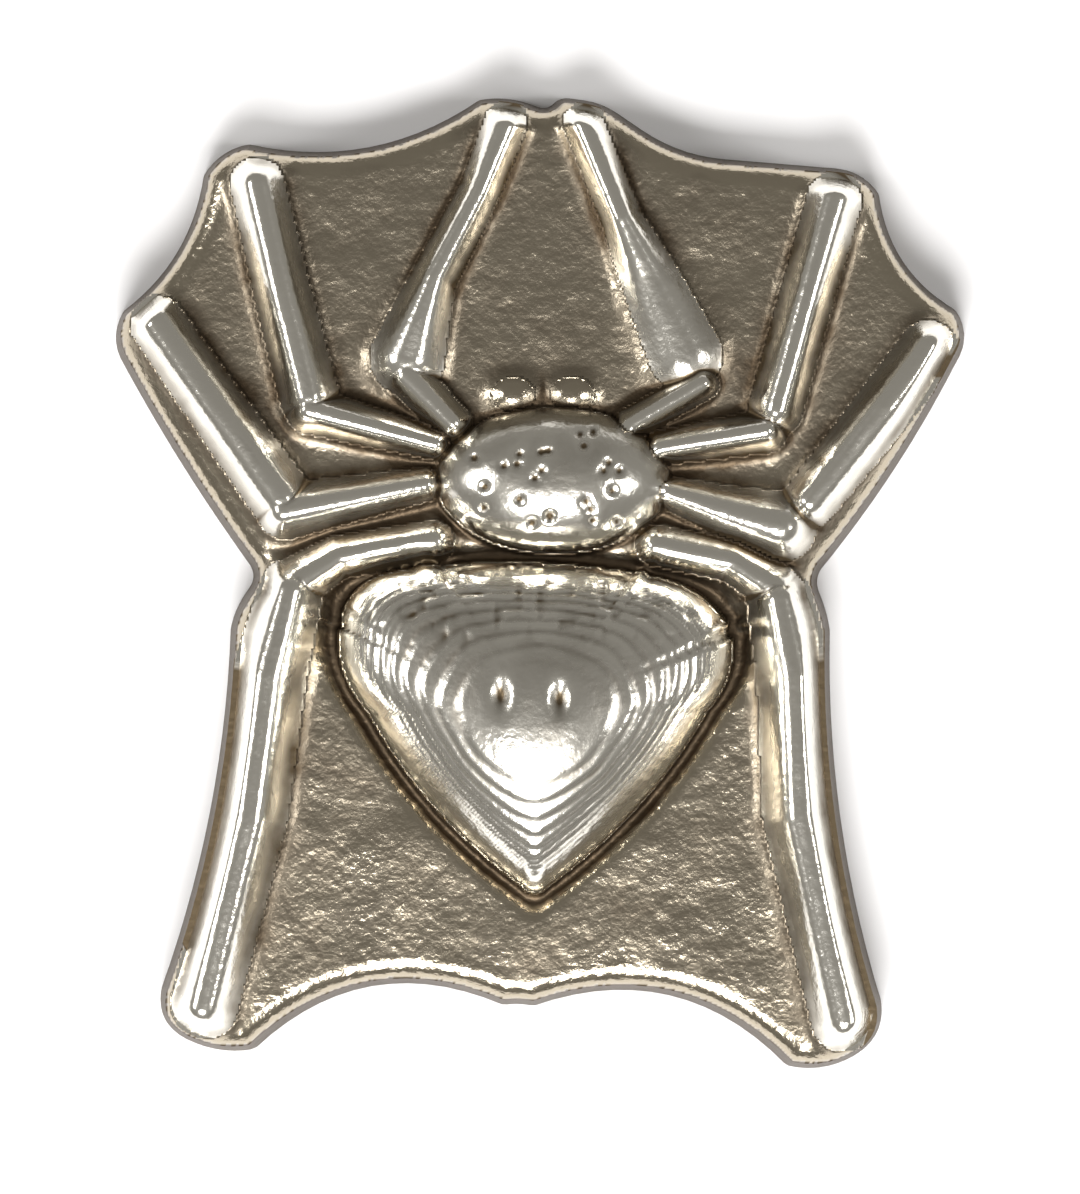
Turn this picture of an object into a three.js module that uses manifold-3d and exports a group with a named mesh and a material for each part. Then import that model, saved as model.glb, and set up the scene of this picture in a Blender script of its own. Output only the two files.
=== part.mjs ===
// A cast silver bar: a spider in high relief on a scalloped plate with a flat back.
// Millimetres, +Z up. The bar lies on its back, its head end points along +Y,
// and the origin is under the middle of the plate.
import * as THREE from 'three';
import { mergeVertices } from 'three/addons/utils/BufferGeometryUtils.js';
import Module from 'manifold-3d';

const wasm = await Module();
wasm.setup();

// Overall size of the bar
const barWidth = 44.6;
const barLength = 51.0;

// The plate that the spider stands on
const plateThickness = 4.4;
const wallDraft = 0.45;
const topEdgeRound = 0.5;
const backEdgeRound = 0.15;
const moatWidth = 1.0;
const moatDepth = 0.45;

// The abdomen, a domed shield with its point towards the feet
const abdomenWidth = 20.6;
const abdomenLength = 17.4;
const abdomenHeight = 5.0;
const pitWidth = 1.3;
const pitLength = 2.0;
const pitDepth = 0.5;

// The cephalothorax, a wide oval dome
const thoraxWidth = 12.4;
const thoraxLength = 7.8;
const thoraxHeight = 3.4;

// Heights of the legs over the plate, and of the two palps in front of the head
const legHeight = 1.9;
const hindLegHeight = 2.3;
const palpHeight = 0.8;

// How much wider than drawn every leg is made, and the gap between features cut by each other
const legExtraWidth = 0;
const featureGap = 0.3;

// How finely round forms are divided
const outlineSteps = 150;
const shieldSteps = 44;
const ovalSteps = 36;
const palpSteps = 20;
const sweepSteps = 7;
const sectionSteps = 6;
const endSteps = 2;
const roundSteps = 3;
const domeSteps = 7;

// The arch of a leg's section: below 1 it stands steeper at the plate. A solid that
// only cuts its neighbours reaches this far down into the plate.
const archPower = 0.8;
const cutterFoot = 1.0;

// Silver, bright on the high forms and toned in the recesses
const silverColours = { plate: 0x8d8474, body: 0xc9c3b4, leg: 0xd2ccbe };

// The corners of the scalloped edge, counterclockwise, in the coordinates of the drawing.
// round is how far from the corner its curve starts, and bow is how far the edge that
// follows bulges out (or in, when negative) at its middle.
const edgeCorners = [
  { at: [0.3, 24.9], round: 0.5, bow: 0 },
  { at: [-1.9, 25.7], round: 1.4, bow: -1.35 },
  { at: [-17.0, 22.8], round: 1.6, bow: -0.85 },
  { at: [-22.9, 12.8], round: 1.7, bow: 0.2 },
  { at: [-15.0, 0.2], round: 0.7, bow: 0 },
  { at: [-16.2, -1.6], round: 1.0, bow: -0.75 },
  { at: [-20.4, -23.5], round: 1.9, bow: 0 },
  { at: [-17.0, -25.2], round: 1.9, bow: -2.2 },
  { at: [-1.2, -22.4], round: 0.8, bow: -2.2 },
  { at: [14.9, -26.2], round: 2.0, bow: 0 },
  { at: [18.2, -24.2], round: 1.9, bow: -0.8 },
  { at: [15.1, -1.7], round: 1.0, bow: 0 },
  { at: [14.4, 0.0], round: 0.7, bow: 0.35 },
  { at: [22.8, 12.9], round: 1.7, bow: -0.9 },
  { at: [17.0, 21.7], round: 1.5, bow: 0 },
  { at: [7.3, 22.5], round: 2.4, bow: 0 },
  { at: [3.2, 25.3], round: 1.0, bow: 0 },
  { at: [1.0, 25.6], round: 0.5, bow: 0 },
];

// The shield's corners, written the same way round its own middle, for a shield of
// width 2 and length 2. The tail is the point between the hind legs.
const shieldCorners = [
  { at: [0.0, 1.04], round: 0.5, bow: 0.02 },
  { at: [-0.98, 0.94], round: 0.34, bow: 0.02 },
  { at: [-1.04, 0.32], round: 0.3, bow: 0.07 },
  { at: [-0.02, -1.06], round: 0.12, bow: 0.07 },
  { at: [1.04, 0.34], round: 0.3, bow: 0.02 },
  { at: [0.9, 0.86], round: 0.34, bow: 0.02 },
];

const abdomenMiddle = [-0.1, -7.9];
const abdomenCrest = [-0.25, -7.4];
const abdomenPits = [[-2.1, -6.0], [0.95, -6.15]];
const thoraxMiddle = [0.65, 5.2];
const palpPlaces = { palp_left: [-1.45, 9.9], palp_right: [1.6, 9.9] };
const palpWidth = 2.6;
const palpLength = 2.2;

// Each leg is two ridges that meet at the knee. A station gives the middle of the ridge,
// its width at the plate and its height as a share of the leg's height.
const legs = {
  leg_1_left: {
    height: legHeight,
    tibia: [
      { at: [-1.85, 23.7], wide: 2.4, rise: 0.75 },
      { at: [-3.2, 20.4], wide: 2.2, rise: 0.9 },
      { at: [-5.6, 15.8], wide: 2.4, rise: 0.9 },
      { at: [-7.0, 11.6], wide: 4.0, rise: 0.8 },
    ],
    femur: [
      { at: [-7.0, 10.7], wide: 2.4, rise: 0.8 },
      { at: [-4.6, 8.2], wide: 2.0, rise: 0.85 },
    ],
  },
  leg_2_left: {
    height: legHeight,
    tibia: [
      { at: [-14.8, 20.5], wide: 2.8, rise: 0.85 },
      { at: [-13.5, 15.0], wide: 2.9, rise: 1.0 },
      { at: [-12.1, 9.6], wide: 3.0, rise: 1.0 },
    ],
    femur: [
      { at: [-12.1, 8.9], wide: 2.4, rise: 1.0 },
      { at: [-5.9, 7.2], wide: 1.7, rise: 0.8 },
    ],
  },
  leg_3_left: {
    height: legHeight,
    tibia: [
      { at: [-19.8, 13.1], wide: 2.9, rise: 0.85 },
      { at: [-16.8, 8.8], wide: 3.0, rise: 1.0 },
      { at: [-13.6, 4.3], wide: 3.2, rise: 1.0 },
    ],
    femur: [
      { at: [-13.4, 3.6], wide: 2.8, rise: 1.0 },
      { at: [-6.4, 4.9], wide: 1.8, rise: 0.75 },
    ],
  },
  leg_4_left: {
    height: hindLegHeight,
    tibia: [
      { at: [-13.1, -0.6], wide: 3.1, rise: 0.9 },
      { at: [-14.2, -5.0], wide: 3.5, rise: 1.0 },
      { at: [-15.2, -12.4], wide: 3.5, rise: 1.0 },
      { at: [-17.5, -21.8], wide: 3.3, rise: 0.9 },
    ],
    femur: [
      { at: [-12.9, -0.2], wide: 2.6, rise: 0.75 },
      { at: [-10.6, 1.2], wide: 2.2, rise: 0.6 },
      { at: [-6.0, 1.9], wide: 2.2, rise: 0.55 },
    ],
  },
  leg_1_right: {
    height: legHeight,
    tibia: [
      { at: [2.2, 23.7], wide: 2.3, rise: 0.75 },
      { at: [4.2, 18.9], wide: 2.3, rise: 0.9 },
      { at: [5.6, 15.9], wide: 3.2, rise: 0.7 },
      { at: [7.5, 11.8], wide: 4.2, rise: 0.6 },
    ],
    femur: [
      { at: [8.4, 10.3], wide: 1.8, rise: 0.75 },
      { at: [4.8, 8.2], wide: 1.8, rise: 0.8 },
    ],
  },
  leg_2_right: {
    height: legHeight,
    tibia: [
      { at: [15.3, 19.6], wide: 2.8, rise: 0.85 },
      { at: [13.9, 15.0], wide: 2.7, rise: 1.0 },
      { at: [12.2, 8.9], wide: 2.7, rise: 1.0 },
    ],
    femur: [
      { at: [11.7, 7.8], wide: 2.2, rise: 1.0 },
      { at: [6.4, 7.0], wide: 1.8, rise: 0.8 },
    ],
  },
  leg_3_right: {
    height: legHeight,
    tibia: [
      { at: [20.0, 11.9], wide: 2.9, rise: 0.85 },
      { at: [17.8, 8.9], wide: 2.9, rise: 1.0 },
      { at: [14.0, 4.1], wide: 2.7, rise: 0.9 },
    ],
    femur: [
      { at: [12.5, 2.8], wide: 3.5, rise: 1.0 },
      { at: [9.6, 3.6], wide: 2.7, rise: 0.85 },
      { at: [6.4, 4.7], wide: 1.7, rise: 0.7 },
    ],
  },
  leg_4_right: {
    height: hindLegHeight,
    tibia: [
      { at: [12.4, -1.1], wide: 3.1, rise: 0.9 },
      { at: [13.2, -5.0], wide: 3.5, rise: 1.0 },
      { at: [13.5, -12.4], wide: 3.5, rise: 1.0 },
      { at: [15.6, -22.4], wide: 3.3, rise: 0.9 },
    ],
    femur: [
      { at: [12.2, -0.4], wide: 2.6, rise: 0.75 },
      { at: [9.9, 1.0], wide: 2.2, rise: 0.6 },
      { at: [6.4, 1.7], wide: 2.2, rise: 0.55 },
    ],
  },
};

const vector = ([x, y]) => new THREE.Vector2(x, y);

// A closed outline from corners whose curves and edges are all quadratic arcs
function curveThrough(corners, steps) {
  const path = new THREE.Path();
  const count = corners.length;
  const leave = (index) => {
    const corner = corners[index];
    const next = vector(corners[(index + 1) % count].at);
    return vector(corner.at).add(next.sub(vector(corner.at)).setLength(corner.round));
  };
  const arrive = (index) => {
    const corner = corners[index];
    const last = vector(corners[(index + count - 1) % count].at);
    return vector(corner.at).add(last.sub(vector(corner.at)).setLength(corner.round));
  };
  path.moveTo(...leave(0));
  for (let index = 0; index < count; index++) {
    const next = (index + 1) % count;
    const start = leave(index);
    const end = arrive(next);
    const outwards = new THREE.Vector2(end.y - start.y, start.x - end.x).normalize();
    const bend = start.clone().lerp(end, 0.5).addScaledVector(outwards, 2 * corners[index].bow);
    path.quadraticCurveTo(...bend, ...end);
    path.quadraticCurveTo(...corners[next].at, ...leave(next));
  }
  return path.getSpacedPoints(steps).slice(0, steps);
}

// The drawing's own edge, and the stretch that makes it the bar's width and length
const drawnEdge = curveThrough(edgeCorners, outlineSteps);
const drawnBox = new THREE.Box2().setFromPoints(drawnEdge);
const drawnMiddle = drawnBox.getCenter(new THREE.Vector2());
const drawnSize = drawnBox.getSize(new THREE.Vector2());
const stretch = new THREE.Vector2(barWidth / drawnSize.x, barLength / drawnSize.y);
const place = (at) => vector(at).sub(drawnMiddle).multiply(stretch);

// Moves each point of a closed counterclockwise ring inwards, square to its neighbours' line
function insetRing(ring, distance) {
  return ring.map((point, index) => {
    const before = ring[(index + ring.length - 1) % ring.length];
    const after = ring[(index + 1) % ring.length];
    const inwards = new THREE.Vector2(before.y - after.y, after.x - before.x).normalize();
    return point.clone().addScaledVector(inwards, distance);
  });
}

// A closed body from rings with the same number of points, lowest first
function stackRings(layers) {
  const positions = layers.flatMap(({ ring, z }) => ring.flatMap((point) => [point.x, point.y, z]));
  const count = layers[0].ring.length;
  const faces = [];
  for (let layer = 0; layer < layers.length - 1; layer++) {
    for (let index = 0; index < count; index++) {
      const here = layer * count + index;
      const beside = layer * count + ((index + 1) % count);
      faces.push(here, beside, beside + count, here, beside + count, here + count);
    }
  }
  const top = (layers.length - 1) * count;
  THREE.ShapeUtils.triangulateShape(layers[0].ring, []).forEach(([a, b, c]) => faces.push(a, c, b));
  THREE.ShapeUtils.triangulateShape(layers.at(-1).ring, []).forEach((face) => {
    faces.push(...face.map((corner) => corner + top));
  });
  const geometry = new THREE.BufferGeometry();
  geometry.setAttribute('position', new THREE.Float32BufferAttribute(positions, 3));
  geometry.setIndex(faces);
  return geometry;
}

function toSolid(geometry) {
  const bare = geometry.clone();
  bare.deleteAttribute('normal');
  bare.deleteAttribute('uv');
  const merged = mergeVertices(bare);
  const vertProperties = new Float32Array(merged.attributes.position.array);
  const triVerts = new Uint32Array(merged.index.array);
  return new wasm.Manifold(new wasm.Mesh({ numProp: 3, vertProperties, triVerts }));
}

function toGeometry(solid) {
  const mesh = solid.getMesh();
  const geometry = new THREE.BufferGeometry();
  geometry.setAttribute('position', new THREE.BufferAttribute(mesh.vertProperties, 3));
  geometry.setIndex(new THREE.BufferAttribute(mesh.triVerts, 1));
  geometry.computeVertexNormals();
  return geometry;
}

// The plate: drafted walls, a rounded top edge and a small round at the back
const plateEdge = drawnEdge.map((point) => place([point.x, point.y]));
const flatTopEdge = insetRing(plateEdge, wallDraft + topEdgeRound);

function plateSolid() {
  const layers = [
    { ring: insetRing(plateEdge, backEdgeRound), z: 0 },
    { ring: plateEdge, z: backEdgeRound },
  ];
  for (let step = 0; step < roundSteps; step++) {
    const angle = (step / roundSteps) * (Math.PI / 2);
    layers.push({
      ring: insetRing(plateEdge, wallDraft + topEdgeRound * (1 - Math.cos(angle))),
      z: plateThickness - topEdgeRound * (1 - Math.sin(angle)),
    });
  }
  layers.push({ ring: flatTopEdge, z: plateThickness });
  return toSolid(stackRings(layers));
}

// A dome over a ring: it keeps the ring's form at the plate and closes on the crest
function domeLayers(ring, crest, height, foot) {
  const layers = foot > 0 ? [{ ring, z: plateThickness - foot }] : [];
  for (let step = 0; step < domeSteps; step++) {
    const angle = (step / domeSteps) * (Math.PI / 2);
    layers.push({
      ring: ring.map((point) => point.clone().lerp(crest, 1 - Math.cos(angle) ** 0.9)),
      z: plateThickness + height * Math.sin(angle),
    });
  }
  return layers;
}

function shieldRing(extra) {
  const middle = place(abdomenMiddle);
  return curveThrough(shieldCorners, shieldSteps).map((point) => new THREE.Vector2(
    middle.x + point.x * (abdomenWidth / 2 + extra),
    middle.y + point.y * (abdomenLength / 2 + extra),
  ));
}

function ovalRing(middle, width, length, steps) {
  const ring = new THREE.EllipseCurve(middle.x, middle.y, width / 2, length / 2);
  return ring.getPoints(steps).slice(0, steps);
}

function abdomenSolid(extra, foot) {
  const layers = domeLayers(shieldRing(extra), place(abdomenCrest), abdomenHeight + extra, foot);
  return toSolid(stackRings(layers));
}

function thoraxSolid(extra, foot) {
  const middle = place(thoraxMiddle);
  const ring = ovalRing(middle, thoraxWidth + 2 * extra, thoraxLength + 2 * extra, ovalSteps);
  return toSolid(stackRings(domeLayers(ring, middle, thoraxHeight + extra, foot)));
}

function palpSolid(at) {
  const middle = place(at);
  const ring = ovalRing(middle, palpWidth, palpLength, palpSteps);
  return toSolid(stackRings(domeLayers(ring, middle, palpHeight, 0)));
}

// The groove round the abdomen, as deep as the moat and as wide
function moatSolid() {
  const below = plateThickness - moatDepth;
  const above = plateThickness + moatDepth;
  const outer = [{ ring: shieldRing(moatWidth / 2), z: below }, { ring: shieldRing(moatWidth), z: above }];
  const inner = [{ ring: shieldRing(0), z: below - 1 }, { ring: shieldRing(0), z: above + 1 }];
  return toSolid(stackRings(outer)).subtract(toSolid(stackRings(inner)));
}

// The pits in the crest of the abdomen, sunk by ellipsoids that lie half over its top
function pitSolid(at) {
  const pit = new THREE.SphereGeometry(1, 12, 8);
  const middle = place(at);
  const crestHeight = plateThickness + abdomenHeight * 0.985;
  pit.scale(pitWidth / 2, pitLength / 2, pitDepth);
  pit.translate(middle.x, middle.y, crestHeight);
  return toSolid(pit);
}

// A ridge with a flat underside that follows its stations and is round at both ends.
// extra widens and heightens it, and foot sinks its underside.
function ridgeSolid(stations, height, extra, foot) {
  const middles = stations.map(({ at }) => place(at));
  const line = new THREE.CatmullRomCurve3(middles.map(({ x, y }) => new THREE.Vector3(x, y, 0)));
  const sizes = new THREE.CatmullRomCurve3(stations.map(({ wide, rise }) => (
    new THREE.Vector3(wide + legExtraWidth + 2 * extra, rise * height + extra, 0)
  )));
  const sections = [];
  const addSection = (along, forward, shrink) => {
    const at = line.getPoint(along);
    const tangent = line.getTangent(along);
    const size = sizes.getPoint(along);
    const reach = forward * (size.x / 2);
    const middle = new THREE.Vector2(at.x + tangent.x * reach, at.y + tangent.y * reach);
    const across = new THREE.Vector2(-tangent.y, tangent.x);
    sections.push({ middle, across, half: (size.x / 2) * shrink, high: size.y * shrink });
  };
  for (let step = endSteps; step > 0; step--) {
    const angle = (step / (endSteps + 0.5)) * (Math.PI / 2);
    addSection(0, -Math.sin(angle), Math.cos(angle));
  }
  for (let step = 0; step <= sweepSteps; step++) addSection(step / sweepSteps, 0, 1);
  for (let step = 1; step <= endSteps; step++) {
    const angle = (step / (endSteps + 0.5)) * (Math.PI / 2);
    addSection(1, Math.sin(angle), Math.cos(angle));
  }
  return toSolid(skinSections(sections, foot));
}

// Joins the arched sections of a ridge into one closed body
function skinSections(sections, foot) {
  const positions = [];
  let rim = 0;
  for (const { middle, across, half, high } of sections) {
    const points = [];
    if (foot > 0) points.push([-half, -foot]);
    points.push([-half, 0]);
    for (let step = 1; step < sectionSteps; step++) {
      const angle = Math.PI * (1 - step / sectionSteps);
      points.push([half * Math.cos(angle), high * Math.sin(angle) ** archPower]);
    }
    points.push([half, 0]);
    if (foot > 0) points.push([half, -foot]);
    for (const [sideways, up] of points) {
      const x = middle.x + across.x * sideways;
      const y = middle.y + across.y * sideways;
      positions.push(x, y, plateThickness + up);
    }
    rim = points.length;
  }
  const faces = [];
  for (let section = 0; section < sections.length - 1; section++) {
    for (let index = 0; index < rim; index++) {
      const here = section * rim + index;
      const beside = section * rim + ((index + 1) % rim);
      faces.push(here, beside + rim, beside, here, here + rim, beside + rim);
    }
  }
  const last = (sections.length - 1) * rim;
  for (let index = 1; index < rim - 1; index++) {
    faces.push(0, index, index + 1);
    faces.push(last, last + index + 1, last + index);
  }
  const geometry = new THREE.BufferGeometry();
  geometry.setAttribute('position', new THREE.Float32BufferAttribute(positions, 3));
  geometry.setIndex(faces);
  return geometry;
}

function legSolid({ tibia, femur, height }, extra, foot) {
  return ridgeSolid(tibia, height, extra, foot).add(ridgeSolid(femur, height, extra, foot));
}

// The space over the flat of the plate, which keeps the legs off its rounded edge
function overFlatTop() {
  const reach = abdomenHeight + thoraxHeight + hindLegHeight;
  return toSolid(stackRings([
    { ring: flatTopEdge, z: plateThickness - cutterFoot },
    { ring: flatTopEdge, z: plateThickness + reach },
  ]));
}

// Every feature in turn is cut back from the ones before it
const silverBar = new THREE.Group();
silverBar.name = 'silver_bar';

function addFeature(name, solid, color, roughness) {
  const material = new THREE.MeshStandardMaterial({ color, roughness, metalness: 1 });
  const mesh = new THREE.Mesh(toGeometry(solid), material);
  mesh.name = name;
  silverBar.add(mesh);
}

const plate = plateSolid().subtract(moatSolid());
addFeature('web_plate', plate, silverColours.plate, 0.42);

let abdomen = abdomenSolid(0, 0);
for (const at of abdomenPits) abdomen = abdomen.subtract(pitSolid(at));
addFeature('abdomen', abdomen, silverColours.body, 0.22);

const abdomenSpace = abdomenSolid(featureGap, cutterFoot);
addFeature('cephalothorax', thoraxSolid(0, 0).subtract(abdomenSpace), silverColours.body, 0.22);

const bodySpace = abdomenSpace.add(thoraxSolid(featureGap, cutterFoot));
for (const [name, at] of Object.entries(palpPlaces)) {
  addFeature(name, palpSolid(at).subtract(bodySpace), silverColours.plate, 0.4);
}

const flatTopSpace = overFlatTop();
let takenSpace = bodySpace;
for (const [name, leg] of Object.entries(legs)) {
  const solid = legSolid(leg, 0, 0).intersect(flatTopSpace).subtract(takenSpace);
  addFeature(name, solid, silverColours.leg, 0.25);
  takenSpace = takenSpace.add(legSolid(leg, featureGap, cutterFoot));
}

export default silverBar;
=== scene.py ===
import math

import bmesh
import bpy
import numpy as np
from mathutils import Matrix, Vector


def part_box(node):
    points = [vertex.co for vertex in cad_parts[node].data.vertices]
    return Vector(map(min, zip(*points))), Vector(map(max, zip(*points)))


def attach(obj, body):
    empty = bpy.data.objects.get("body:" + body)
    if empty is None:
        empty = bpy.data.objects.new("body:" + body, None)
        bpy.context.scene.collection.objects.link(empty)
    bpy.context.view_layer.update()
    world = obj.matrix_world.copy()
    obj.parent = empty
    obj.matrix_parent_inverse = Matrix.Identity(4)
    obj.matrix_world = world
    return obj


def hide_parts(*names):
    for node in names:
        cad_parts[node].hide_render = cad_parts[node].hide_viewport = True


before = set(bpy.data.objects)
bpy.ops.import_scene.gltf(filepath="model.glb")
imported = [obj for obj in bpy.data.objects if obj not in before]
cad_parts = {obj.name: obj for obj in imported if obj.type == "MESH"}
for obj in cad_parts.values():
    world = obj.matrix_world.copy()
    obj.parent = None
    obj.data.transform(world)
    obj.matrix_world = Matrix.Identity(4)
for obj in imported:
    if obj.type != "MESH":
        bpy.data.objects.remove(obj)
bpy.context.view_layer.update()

mm = 0.001
tiny = 1e-12

plateLow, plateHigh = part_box("web_plate")
abdomenLow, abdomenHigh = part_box("abdomen")
thoraxLow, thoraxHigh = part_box("cephalothorax")
plateTop = plateHigh.z / mm
abdomenRise = abdomenHigh.z / mm - plateTop
thoraxRise = thoraxHigh.z / mm - plateTop

# The casting as a whole, in millimetres
casting = {
    "draft": 0.42,  # how far the walls lean in from the back to the top
    "edgeRound": 1.15,
    "step": 0.13,  # between the mesh's points
    "snap": 0.75,  # of a step: points this near the wall's top are moved onto it
    "filletPower": 4.5,  # higher makes the fillets between features tighter
    "seat": 0.4,  # how far below its top the plate runs on under the features
    "ownHeight": 0.3,  # a feature owns the surface where it stands this high
    "rimFade": 1.1,  # of the edge round: how far in the relief reaches its full height
    "rimShare": 0.3,  # of the relief's height, close to the rim
    "rimPower": 0.35,  # lower makes the relief end more steeply at the rim
}

# Corners of the scalloped edge: x, y, round, and bow of the edge that follows
edgeCorners = [
    (0.3, 24.9, 0.5, 0), (-1.9, 25.7, 1.4, -1.35), (-17.0, 22.8, 1.6, -0.85), (-22.9, 12.8, 1.7, 0.2),
    (-15.0, 0.2, 0.7, 0), (-16.2, -1.6, 1.0, -0.75), (-20.4, -23.5, 1.9, 0), (-17.0, -25.2, 1.9, -2.2),
    (-1.2, -22.4, 0.8, -2.2), (14.9, -26.2, 2.0, 0), (18.2, -24.2, 1.9, -0.8), (15.1, -1.7, 1.0, 0),
    (14.4, 0.0, 0.7, 0.35), (22.8, 12.9, 1.7, -0.9), (17.0, 21.7, 1.5, 0), (7.3, 22.5, 2.4, 0),
    (3.2, 25.3, 1.0, 0), (1.0, 25.6, 0.5, 0),
]

# Corners of the abdomen's shield, for a half width and half length of 1
shieldCorners = [
    (0.0, 1.04, 0.5, 0.02), (-0.98, 0.94, 0.34, 0.02), (-1.04, 0.32, 0.3, 0.07),
    (-0.02, -1.06, 0.12, 0.07), (1.04, 0.34, 0.3, 0.02), (0.9, 0.86, 0.34, 0.02),
]

# Ridges of each leg: x, y, width at the plate, rise in millimetres; the tibia first, then the femur
legs = {
    "leg_1_left": ([(-1.85, 23.9, 2.3, 1.4), (-3.2, 20.4, 2.1, 1.7),
                    (-5.6, 15.8, 2.3, 1.7), (-7.0, 11.6, 3.9, 1.5)],
                   [(-7.0, 10.7, 2.4, 1.5), (-4.6, 8.2, 2.0, 1.6)]),
    "leg_2_left": ([(-14.8, 20.7, 2.8, 1.7), (-13.5, 15.0, 2.9, 1.9), (-12.1, 9.6, 3.0, 1.9)],
                   [(-12.1, 8.9, 2.4, 1.9), (-5.5, 7.1, 1.7, 1.5)]),
    "leg_3_left": ([(-20.0, 13.4, 2.9, 1.7), (-16.8, 8.8, 3.0, 1.9), (-13.6, 4.3, 3.2, 1.9)],
                   [(-13.4, 3.6, 2.8, 1.9), (-6.0, 5.0, 1.8, 1.4)]),
    "leg_4_left": ([(-13.1, -0.6, 3.1, 2.1), (-14.2, -5.0, 3.6, 2.3),
                    (-15.2, -12.4, 3.6, 2.3), (-17.6, -22.3, 3.3, 2.1)],
                   [(-12.9, -0.2, 2.6, 1.7), (-10.6, 1.2, 2.3, 1.4), (-5.6, 2.0, 2.3, 1.3)]),
    "leg_1_right": ([(2.2, 23.9, 2.2, 1.4), (4.2, 18.9, 2.2, 1.7),
                     (5.6, 15.9, 3.2, 1.3), (7.5, 11.8, 4.2, 1.1)],
                    [(8.4, 10.3, 1.8, 1.4), (4.6, 8.1, 1.8, 1.5)]),
    "leg_2_right": ([(15.3, 19.9, 2.8, 1.7), (13.9, 15.0, 2.7, 1.9), (12.2, 8.9, 2.7, 1.9)],
                    [(11.7, 7.8, 2.2, 1.9), (6.2, 6.9, 1.8, 1.5)]),
    "leg_3_right": ([(20.2, 12.1, 2.9, 1.7), (17.8, 8.9, 2.9, 1.9), (14.0, 4.1, 2.7, 1.7)],
                    [(12.5, 2.8, 3.5, 1.9), (9.6, 3.6, 2.7, 1.6), (6.2, 4.7, 1.7, 1.3)]),
    "leg_4_right": ([(12.4, -1.1, 3.1, 2.1), (13.2, -5.0, 3.6, 2.3),
                     (13.5, -12.4, 3.6, 2.3), (15.8, -23.0, 3.3, 2.1)],
                    [(12.2, -0.4, 2.6, 1.7), (9.9, 1.0, 2.3, 1.4), (6.0, 1.8, 2.3, 1.3)]),
}
ridgeForm = {"width": 0.86, "power": 2.7}  # of a ridge's bell-shaped section


def bendBetween(start, control, end, count):
    t = np.linspace(0, 1, count, endpoint=False)[:, None]
    return (1 - t) ** 2 * start + 2 * t * (1 - t) * control + t ** 2 * end


def closedCurve(corners, count=14):  # corners whose rounds and edges are quadratic arcs
    spots = [np.array(c[:2], float) for c in corners]
    unit = lambda v: v / np.linalg.norm(v)
    rows = []
    rounds = [c[2] for c in corners]
    bows = [c[3] for c in corners]
    for i, here in enumerate(spots):
        after, beyond = spots[(i + 1) % len(spots)], spots[(i + 2) % len(spots)]
        nextRound = rounds[(i + 1) % len(rounds)]
        start = here + unit(after - here) * rounds[i]
        end = after + unit(here - after) * nextRound
        outwards = unit(np.array((end[1] - start[1], start[0] - end[0])))
        rows.append(bendBetween(start, (start + end) / 2 + 2 * bows[i] * outwards, end, count))
        rows.append(bendBetween(end, after, after + unit(beyond - after) * nextRound, count // 2))
    return np.concatenate(rows)


drawnEdge = closedCurve(edgeCorners)
drawnMiddle = (drawnEdge.min(0) + drawnEdge.max(0)) / 2
cadSize = np.array((plateHigh.x - plateLow.x, plateHigh.y - plateLow.y)) / mm
stretch = cadSize / (drawnEdge.max(0) - drawnEdge.min(0))


def place(spots):
    return (np.asarray(spots, float) - drawnMiddle) * stretch


outline = place(drawnEdge)
shield = closedCurve(shieldCorners)
shieldHalf = np.array((abdomenHigh.x - abdomenLow.x, abdomenHigh.y - abdomenLow.y)) / mm / 2
shieldMiddle = np.array((abdomenHigh.x + abdomenLow.x, abdomenHigh.y + abdomenLow.y)) / mm / 2
drawnShieldMiddle = (shield.min(0) + shield.max(0)) / 2
shield = shieldMiddle + (shield - drawnShieldMiddle) * shieldHalf / (np.ptp(shield, 0) / 2)
thoraxMiddle = np.array((thoraxHigh.x + thoraxLow.x, thoraxHigh.y + thoraxLow.y)) / mm / 2
thoraxHalf = np.array((thoraxHigh.x - thoraxLow.x, thoraxHigh.y - thoraxLow.y)) / mm / 2


def smooth(t):
    t = np.clip(t, 0, 1)
    return t * t * (3 - 2 * t)


def noise(x, y, cell, seed):  # smooth random heights from -1 to 1 on a lattice of this cell
    count = 256
    lattice = np.random.default_rng(seed).uniform(-1, 1, (count, count))
    u, v = x / cell + count / 2, y / cell + count / 2
    i, j = np.floor(u).astype(int), np.floor(v).astype(int)
    a, b = smooth(u - i), smooth(v - j)
    at = lambda p, q: lattice[p % count, q % count]
    low = at(i, j) * (1 - a) + at(i + 1, j) * a
    high = at(i, j + 1) * (1 - a) + at(i + 1, j + 1) * a
    return low * (1 - b) + high * b


def edgeDistance(x, y):  # positive inside the outline
    far = np.full(x.shape, np.inf)
    inside = np.zeros(x.shape, bool)
    for (ax, ay), (bx, by) in zip(outline, np.roll(outline, -1, 0)):
        dx, dy = bx - ax, by - ay
        lengthSquared = dx * dx + dy * dy
        if lengthSquared < tiny:
            continue
        t = np.clip(((x - ax) * dx + (y - ay) * dy) / lengthSquared, 0, 1)
        far = np.minimum(far, (x - ax - t * dx) ** 2 + (y - ay - t * dy) ** 2)
        if ay != by:
            inside ^= ((ay > y) != (by > y)) & (x < dx * (y - ay) / dy + ax)
    return np.where(inside, 1, -1) * np.sqrt(far)


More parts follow.
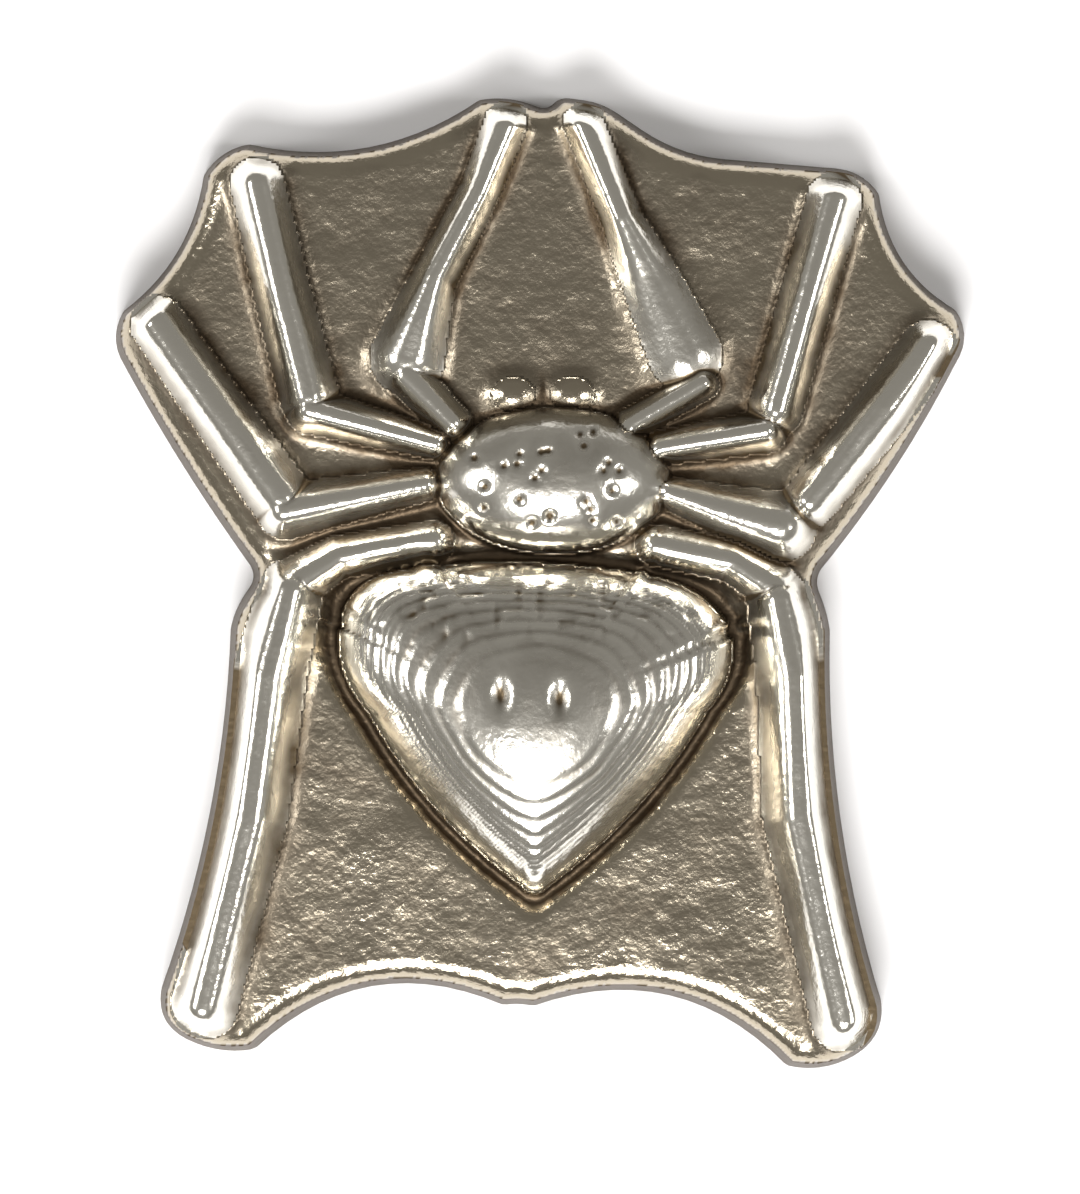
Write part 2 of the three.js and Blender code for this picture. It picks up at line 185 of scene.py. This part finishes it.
def ridge(x, y, stations):  # a rounded ridge along its stations
    stations = np.array(stations, float)
    stations[:, :2] = place(stations[:, :2])
    best = np.zeros(x.shape)
    for a, b in zip(stations[:-1], stations[1:]):
        d = b[:2] - a[:2]
        t = np.clip(((x - a[0]) * d[0] + (y - a[1]) * d[1]) / (d @ d), 0, 1)
        away = np.hypot(x - a[0] - t * d[0], y - a[1] - t * d[1])
        half = (a[2] + t * (b[2] - a[2])) / 2
        rise = a[3] + t * (b[3] - a[3])
        bell = np.exp(-((away / (half * ridgeForm["width"])) ** ridgeForm["power"]))
        best = np.maximum(best, rise * bell)
    return best


def radialShare(x, y, ring, crest):  # 0 at the crest, 1 on the ring
    angles = np.arctan2(ring[:, 1] - crest[1], ring[:, 0] - crest[0])
    order = np.argsort(angles)
    radii = np.hypot(ring[:, 0] - crest[0], ring[:, 1] - crest[1])[order]
    reach = np.interp(np.arctan2(y - crest[1], x - crest[0]), angles[order], radii, period=2 * math.pi)
    return np.hypot(x - crest[0], y - crest[1]) / reach


abdomen = {
    "crest": (-0.25, -7.0),
    "crestSize": 0.82,  # of the oval crest, as a share of the shield
    "crestStart": 0.1,  # where the oval begins to turn into the shield
    "crestBlend": 0.75,
    "domePower": 2.3,
    "domeRound": 0.62,
    "terrace": 0.3,  # height of each growth ring
    "terraceShare": 0.55,
    "terraceSharpness": 1.8,
    "terraceStart": 0.4,
    "wander": (0.05, 1.7, 5),  # height, width and seed of what makes the rings uneven
    "flankStart": (0.32, 5),  # share and steepness
    "flankEnd": (0.97, 12),
    "pebbles": (0.16, 0.55, 8),  # depth, width and seed
    "pebblesFrom": 3.0,  # millimetres from the crest towards the head
    "pebblesFade": 2,
    "pebblesLeast": 0.1,
    "pits": ((-2.1, -6.0), (0.95, -6.15)),
    "pitSize": (0.42, 0.75),
    "pitDepth": 0.4,
    "moat": 0.45,
    "moatReach": 9,
    "moatMiddle": 0.35,
    "moatWidth": 0.5,
}


def domeOver(share, rise, power, roundness):
    return rise * np.clip(1 - share ** power, 0, 1) ** roundness


def abdomenHeight(x, y):
    crest = place(abdomen["crest"])
    share = radialShare(x, y, shield, crest)
    ovalHalf = shieldHalf * abdomen["crestSize"]
    oval = np.hypot((x - crest[0]) / ovalHalf[0], (y - crest[1]) / ovalHalf[1])
    toEdge = smooth((share - abdomen["crestStart"]) / abdomen["crestBlend"])
    share = oval * (1 - toEdge) + share * toEdge
    dome = domeOver(share, abdomenRise, abdomen["domePower"], abdomen["domeRound"])

    step = abdomen["terrace"]
    wanderHeight, wanderWidth, wanderSeed = abdomen["wander"]
    warped = dome + wanderHeight * noise(x, y, wanderWidth, wanderSeed)
    tread = smooth((warped / step) % 1 * abdomen["terraceSharpness"] - abdomen["terraceStart"])
    stair = (np.floor(warped / step) + tread) * step
    flankStart, startSteepness = abdomen["flankStart"]
    flankEnd, endSteepness = abdomen["flankEnd"]
    flank = smooth((share - flankStart) * startSteepness) * smooth((flankEnd - share) * endSteepness)
    dome = dome + (stair - warped) * abdomen["terraceShare"] * flank

    depth, width, seed = abdomen["pebbles"]
    pebbles = smooth((y - crest[1] - abdomen["pebblesFrom"]) / abdomen["pebblesFade"]) * flank
    dome -= pebbles * depth * np.clip(noise(x, y, width, seed) - abdomen["pebblesLeast"], 0, 1)
    for spot in abdomen["pits"]:
        px, py = place(spot)
        wide, long = abdomen["pitSize"]
        dome -= abdomen["pitDepth"] * np.exp(-(((x - px) / wide) ** 2 + ((y - py) / long) ** 2))

    foot = np.clip((share - 1) * abdomen["moatReach"], 0, None)
    groove = np.exp(-((foot - abdomen["moatMiddle"]) / abdomen["moatWidth"]) ** 2)
    moat = abdomen["moat"] * groove * (share > 1)
    return np.clip(dome, 0, None), moat


thorax = {
    "domePower": 2.4,
    "domeRound": 0.62,
    "pitCount": 26,
    "pitSeed": 3,
    "pitReach": 0.7,  # of the oval's half width and half length
    "pitDepth": 0.22,
    "pitArea": 0.05,
    "pitsEnd": 0.9,
}


def thoraxHeight(x, y):
    share = np.hypot((x - thoraxMiddle[0]) / thoraxHalf[0], (y - thoraxMiddle[1]) / thoraxHalf[1])
    dome = domeOver(share, thoraxRise, thorax["domePower"], thorax["domeRound"])
    draws = np.random.default_rng(thorax["pitSeed"])
    spots = draws.uniform(-thorax["pitReach"], thorax["pitReach"], (thorax["pitCount"], 2))
    for px, py in spots * thoraxHalf + thoraxMiddle:
        pit = np.exp(-((x - px) ** 2 + (y - py) ** 2) / thorax["pitArea"])
        dome -= thorax["pitDepth"] * pit * (share < thorax["pitsEnd"])
    return np.clip(dome, 0, None)


palps = {
    "places": {"palp_left": (-1.45, 9.7), "palp_right": (1.6, 9.7)},
    "rise": 0.7,
    "size": (1.5, 1.2),
    "power": 2.6,
    "steepness": 1.6,
}


def features(x, y):  # how high each feature stands over the plate, and how deep the moat is
    dome, moat = abdomenHeight(x, y)
    heights = {"abdomen": dome, "cephalothorax": thoraxHeight(x, y)}
    for name, spot in palps["places"].items():
        px, py = place(spot)
        away = np.hypot((x - px) / palps["size"][0], (y - py) / palps["size"][1])
        heights[name] = palps["rise"] * np.exp(-(away ** palps["power"]) * palps["steepness"])
    for name, ridges in legs.items():
        heights[name] = np.maximum(*(ridge(x, y, stations) for stations in ridges))
    return heights, moat


skinBumps = {
    "layers": ((0.03, 2.3, 21), (0.014, 0.8, 22), (0.006, 0.35, 23)),  # height, width and seed
    "onFeatures": 0.35,
    "fallOff": 1.5,  # how quickly they fade as the relief rises
}


def relief(x, y, inwards, heights, moat):  # the whole upper surface, with its cast fillets
    power = casting["filletPower"]
    total = sum(np.clip(h, 0, None) ** power for h in heights.values()) ** (1 / power)
    nearEdge = smooth((inwards - casting["draft"]) / (casting["edgeRound"] * casting["rimFade"]))
    bumps = sum(height * noise(x, y, width, seed) for height, width, seed in skinBumps["layers"])
    field = np.exp(-total * skinBumps["fallOff"])
    t = np.clip((inwards - casting["draft"]) / casting["edgeRound"], 0, 1)
    shoulder = casting["edgeRound"] * (1 - np.sqrt(np.clip(1 - (1 - t) ** 2, 0, 1)))
    rimShare = casting["rimShare"]
    raised = total * (rimShare + (1 - rimShare) * nearEdge) * nearEdge ** casting["rimPower"]
    uneven = bumps * (skinBumps["onFeatures"] + field) * nearEdge
    return plateTop - shoulder + raised - moat * nearEdge + uneven


def blurred(values, reach):
    kernel = np.exp(-np.linspace(-2, 2, 2 * reach + 1) ** 2)
    kernel /= kernel.sum()
    soften = lambda row: np.convolve(np.pad(row, reach, "edge"), kernel, "valid")
    for axis in (0, 1):
        values = np.apply_along_axis(soften, axis, values)
    return values


# One grid over the whole casting; each piece takes its own faces from it, so that the
# cast fillets run on from piece to piece
step = casting["step"]
low, high = outline.min(0) - 2 * step, outline.max(0) + 2 * step
countX, countY = (np.ceil((high - low) / step)).astype(int)
columnsX, rowsY = low[0] + step * np.arange(countX), low[1] + step * np.arange(countY)
gridX, gridY = np.meshgrid(columnsX, rowsY, indexing="ij")
inwards = edgeDistance(gridX, gridY)
near = np.abs(inwards - casting["draft"]) < step * casting["snap"]
slopeX, slopeY = np.gradient(inwards, step)
push = np.where(near, casting["draft"] - inwards, 0)
gridX = gridX + push * slopeX
gridY = gridY + push * slopeY
inwards = np.where(near, casting["draft"], inwards)
heights, moat = features(gridX, gridY)
top = relief(gridX, gridY, inwards, heights, moat)

toning = {
    "level": 0.46,  # on a level face; higher is darker
    "wide": (9, 1.5),  # reach in points and strength of the tone in wide hollows
    "fine": (3, 4),  # the same for narrow ones
}
wideReach, wideTone = toning["wide"]
fineReach, fineTone = toning["fine"]
hollows = (blurred(top, wideReach) - top) * wideTone
creases = (blurred(top, fineReach) - top) * fineTone
patina = np.clip(toning["level"] + hollows + creases, 0, 1)
print("relief", top.shape, "highest", round(float(top.max()), 2))

names = list(heights)
stacked = np.stack([heights[name] for name in names])
owner = np.where(stacked.max(0) > casting["ownHeight"], stacked.argmax(0), len(names))
kept = inwards >= casting["draft"] - tiny
faceKept = kept[:-1, :-1] & kept[1:, :-1] & kept[:-1, 1:] & kept[1:, 1:]
faceOwner = owner[:-1, :-1]


def pieceMesh(name, wanted, surface, floorHeight, spread=0.0):  # a grid patch with walls and a floor
    bm = bmesh.new()
    inI, inJ = np.nonzero(wanted)
    firstI, firstJ = inI.min(), inJ.min()
    spanI, spanJ = inI.max() + 1 - firstI, inJ.max() + 1 - firstJ
    bmesh.ops.create_grid(bm, x_segments=int(spanI), y_segments=int(spanJ), size=1)
    bm.verts.ensure_lookup_table()
    tone = bm.verts.layers.float.new("patina")
    order = np.array([v.co[:2] for v in bm.verts])
    columns = firstI + np.rint((order[:, 0] + 1) / 2 * spanI).astype(int)
    rows = firstJ + np.rint((order[:, 1] + 1) / 2 * spanJ).astype(int)
    for v, i, j in zip(bm.verts, columns, rows):
        v.co = (gridX[i, j] * mm, gridY[i, j] * mm, surface[i, j] * mm)
        v[tone] = patina[i, j]
    cell = lambda f: (min(columns[v.index] for v in f.verts), min(rows[v.index] for v in f.verts))
    drop = [f for f in bm.faces if not wanted[cell(f)]]
    bmesh.ops.delete(bm, geom=drop, context="FACES")
    loose = [v for v in bm.verts if not v.link_faces]
    bmesh.ops.delete(bm, geom=loose, context="VERTS")
    rim = [e for e in bm.edges if e.is_boundary]
    for e in rim:
        e.smooth = False
    grown = bmesh.ops.extrude_edge_only(bm, edges=rim)["geom"]
    lower = [g for g in grown if isinstance(g, bmesh.types.BMVert)]
    x, y = np.array([v.co[:2] for v in lower]).T / mm
    if spread:  # the drafted wall leans out towards the back
        probe = 0.05
        slopeAcross = edgeDistance(x + probe, y) - edgeDistance(x - probe, y)
        slopeAlong = edgeDistance(x, y + probe) - edgeDistance(x, y - probe)
        size = np.maximum(np.hypot(slopeAcross, slopeAlong), tiny)
        x = x - spread * slopeAcross / size
        y = y - spread * slopeAlong / size
    for v, newX, newY in zip(lower, x, y):
        v.co = (newX * mm, newY * mm, floorHeight * mm)
    bmesh.ops.holes_fill(bm, edges=[e for e in bm.edges if e.is_boundary], sides=0)
    bmesh.ops.recalc_face_normals(bm, faces=bm.faces)
    for f in bm.faces:
        f.smooth = True
    for v in lower:
        for e in v.link_edges:
            e.smooth = False
    mesh = bpy.data.meshes.new(name)
    bm.to_mesh(mesh)
    bm.free()
    piece = bpy.data.objects.new(name, mesh)
    bpy.context.collection.objects.link(piece)
    print(name, len(mesh.polygons), "faces")
    return piece


castSkinLook = {
    "cloudScale": 330,  # per metre, as in grainScale
    "cloudDetail": 5,
    "cloudShare": 0.7,
    "grainScale": 2600,
    "grainDetail": 4,
    "toneRange": (0.62, 1.15),
    "roughness": (0.17, 0.46),  # polished high spots to toned recesses
    "grainDepth": 0.12 * mm,
}


def castSkinGroup():  # tone, roughness and grain of cast silver from its patina
    group = bpy.data.node_groups.new("castSkin", "ShaderNodeTree")
    number, colour = "NodeSocketFloat", "NodeSocketColor"
    for name, kind in (("Patina", number), ("Bright", colour), ("Dark", colour)):
        group.interface.new_socket(name, in_out="INPUT", socket_type=kind)
    for name, kind in (("Color", colour), ("Roughness", number), ("Height", number)):
        group.interface.new_socket(name, in_out="OUTPUT", socket_type=kind)
    nodes, link = group.nodes, group.links.new
    inputs, outputs = nodes.new("NodeGroupInput"), nodes.new("NodeGroupOutput")
    coords = nodes.new("ShaderNodeTexCoord")

    def noiseOf(scale, detail):
        node = nodes.new("ShaderNodeTexNoise")
        node.inputs["Scale"].default_value = scale
        node.inputs["Detail"].default_value = detail
        link(coords.outputs["Object"], node.inputs["Vector"])
        return node.outputs["Fac"]

    cloud = noiseOf(castSkinLook["cloudScale"], castSkinLook["cloudDetail"])
    grain = noiseOf(castSkinLook["grainScale"], castSkinLook["grainDetail"])
    uneven = nodes.new("ShaderNodeMath")
    uneven.operation = "MULTIPLY_ADD"
    uneven.inputs[1].default_value = castSkinLook["cloudShare"]
    link(cloud, uneven.inputs[0])
    link(inputs.outputs["Patina"], uneven.inputs[2])
    spread = nodes.new("ShaderNodeMapRange")
    lightest, darkest = castSkinLook["toneRange"]
    spread.inputs["From Min"].default_value = lightest
    spread.inputs["From Max"].default_value = darkest
    link(uneven.outputs[0], spread.inputs["Value"])
    tint = nodes.new("ShaderNodeMix")
    tint.data_type = "RGBA"
    link(spread.outputs[0], tint.inputs["Factor"])
    link(inputs.outputs["Bright"], tint.inputs["A"])
    link(inputs.outputs["Dark"], tint.inputs["B"])
    rough = nodes.new("ShaderNodeMapRange")
    polished, dull = castSkinLook["roughness"]
    rough.inputs["To Min"].default_value = polished
    rough.inputs["To Max"].default_value = dull
    link(spread.outputs[0], rough.inputs["Value"])
    link(tint.outputs["Result"], outputs.inputs["Color"])
    link(rough.outputs[0], outputs.inputs["Roughness"])
    link(grain, outputs.inputs["Height"])
    return group


castSkin = castSkinGroup()
print("cast skin group built")


def silver(name, bright, dark, grain):
    material = bpy.data.materials.new(name)
    material.use_nodes = True
    nodes, link = material.node_tree.nodes, material.node_tree.links.new
    shader = nodes["Principled BSDF"]
    shader.inputs["Metallic"].default_value = 1
    skin = nodes.new("ShaderNodeGroup")
    skin.node_tree = castSkin
    skin.inputs["Bright"].default_value = (*bright, 1)
    skin.inputs["Dark"].default_value = (*dark, 1)
    tone = nodes.new("ShaderNodeAttribute")
    tone.attribute_name = "patina"
    link(tone.outputs["Fac"], skin.inputs["Patina"])
    bump = nodes.new("ShaderNodeBump")
    bump.inputs["Strength"].default_value = grain
    bump.inputs["Distance"].default_value = castSkinLook["grainDepth"]
    link(skin.outputs["Height"], bump.inputs["Height"])
    link(skin.outputs["Color"], shader.inputs["Base Color"])
    link(skin.outputs["Roughness"], shader.inputs["Roughness"])
    link(bump.outputs["Normal"], shader.inputs["Normal"])
    return material


brightSilver = silver("brightSilver", bright=(0.88, 0.85, 0.77), dark=(0.12, 0.09, 0.055), grain=0.22)
# A darker copy of the same silver, used on the plate and the palps: painted dark reflection, standing
# in for the dark overhead that their level faces mirror
darkReflectionSilver = silver("darkReflectionSilver", bright=(0.50, 0.44, 0.34), dark=(0.085, 0.062, 0.04), grain=0.45)
print("materials done")


def addPiece(node, piece, material):
    piece.data.materials.append(material)
    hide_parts(node)
    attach(piece, "root")


# Under the features the plate runs on lower down; at their borders it keeps the shared height
underSurface = np.where(owner < len(names), np.minimum(top, plateTop - casting["seat"]), top)
borders = np.zeros(owner.shape, bool)
for shift in ((1, 0), (-1, 0), (0, 1), (0, -1), (1, 1), (-1, -1)):
    borders |= np.roll(owner, shift, (0, 1)) != owner
plateSurface = np.where(borders, top, underSurface)
plate = pieceMesh("webPlate", faceKept, plateSurface, 0.0, casting["draft"])
addPiece("web_plate", plate, darkReflectionSilver)
featureFloor = plateTop - casting["seat"] / 2
for index, node in enumerate(names):
    piece = pieceMesh(node + "_cast", faceKept & (faceOwner == index), top, featureFloor)
    if node in palps["places"]:
        addPiece(node, piece, darkReflectionSilver)
    else:
        addPiece(node, piece, brightSilver)
print("pieces done")

studio = {
    "floorColour": (0.87, 0.86, 0.86, 1),
    "floorRoughness": 0.9,
    "floorHalf": 1.5,
    "worldColour": (0.60, 0.58, 0.54, 1),
    "worldStrength": 0.42,
}
floorMaterial = bpy.data.materials.new("paleFloor")
floorMaterial.use_nodes = True
floorShader = floorMaterial.node_tree.nodes["Principled BSDF"]
floorShader.inputs["Base Color"].default_value = studio["floorColour"]
floorShader.inputs["Roughness"].default_value = studio["floorRoughness"]
floorMesh = bpy.data.meshes.new("floor")
bm = bmesh.new()
bmesh.ops.create_grid(bm, x_segments=1, y_segments=1, size=studio["floorHalf"])
bm.to_mesh(floorMesh)
bm.free()
floorMesh.materials.append(floorMaterial)
floor = bpy.data.objects.new("floor", floorMesh)
bpy.context.collection.objects.link(floor)


def softLight(name, spot, size, power):
    lamp = bpy.data.lights.new(name, "AREA")
    lamp.size = size
    lamp.energy = power
    light = bpy.data.objects.new(name, lamp)
    light.location = spot
    light.rotation_euler = (-light.location).to_track_quat("-Z", "Y").to_euler()
    bpy.context.collection.objects.link(light)


softLight("mainLight", spot=(-0.03, -0.30, 0.42), size=0.22, power=3.3)
softLight("leftLight", spot=(-0.42, 0.02, 0.34), size=0.16, power=1.2)
softLight("rightLight", spot=(0.40, -0.06, 0.36), size=0.14, power=0.9)
world = bpy.data.worlds.new("studio")
bpy.context.scene.world = world
world.use_nodes = True
background = world.node_tree.nodes["Background"]
background.inputs["Color"].default_value = studio["worldColour"]
background.inputs["Strength"].default_value = studio["worldStrength"]
print("studio lit")

# The picture is 1080 by 1194 pixels, and the object's middle is in its row objectRow
view = {
    "millimetresPerPixel": 0.052,
    "height": 1194,
    "objectRow": 583,
    "distance": 0.40,
    "sensor": 36,
    "clipStart": 0.01,
}
metresPerPixel = view["millimetresPerPixel"] * mm
viewHeight = view["height"] * metresPerPixel
camera = bpy.data.cameras.new("camera")
camera.sensor_fit = "VERTICAL"
camera.sensor_height = view["sensor"]
camera.lens = view["sensor"] * (view["distance"] - plateTop * mm) / viewHeight
camera.clip_start = view["clipStart"]
cameraObject = bpy.data.objects.new("camera", camera)
cameraY = (view["objectRow"] - view["height"] / 2) * metresPerPixel
cameraObject.location = (0, cameraY, view["distance"])
bpy.context.collection.objects.link(cameraObject)
bpy.context.scene.camera = cameraObject
bpy.context.scene.view_settings.view_transform = "Standard"
print("camera set")
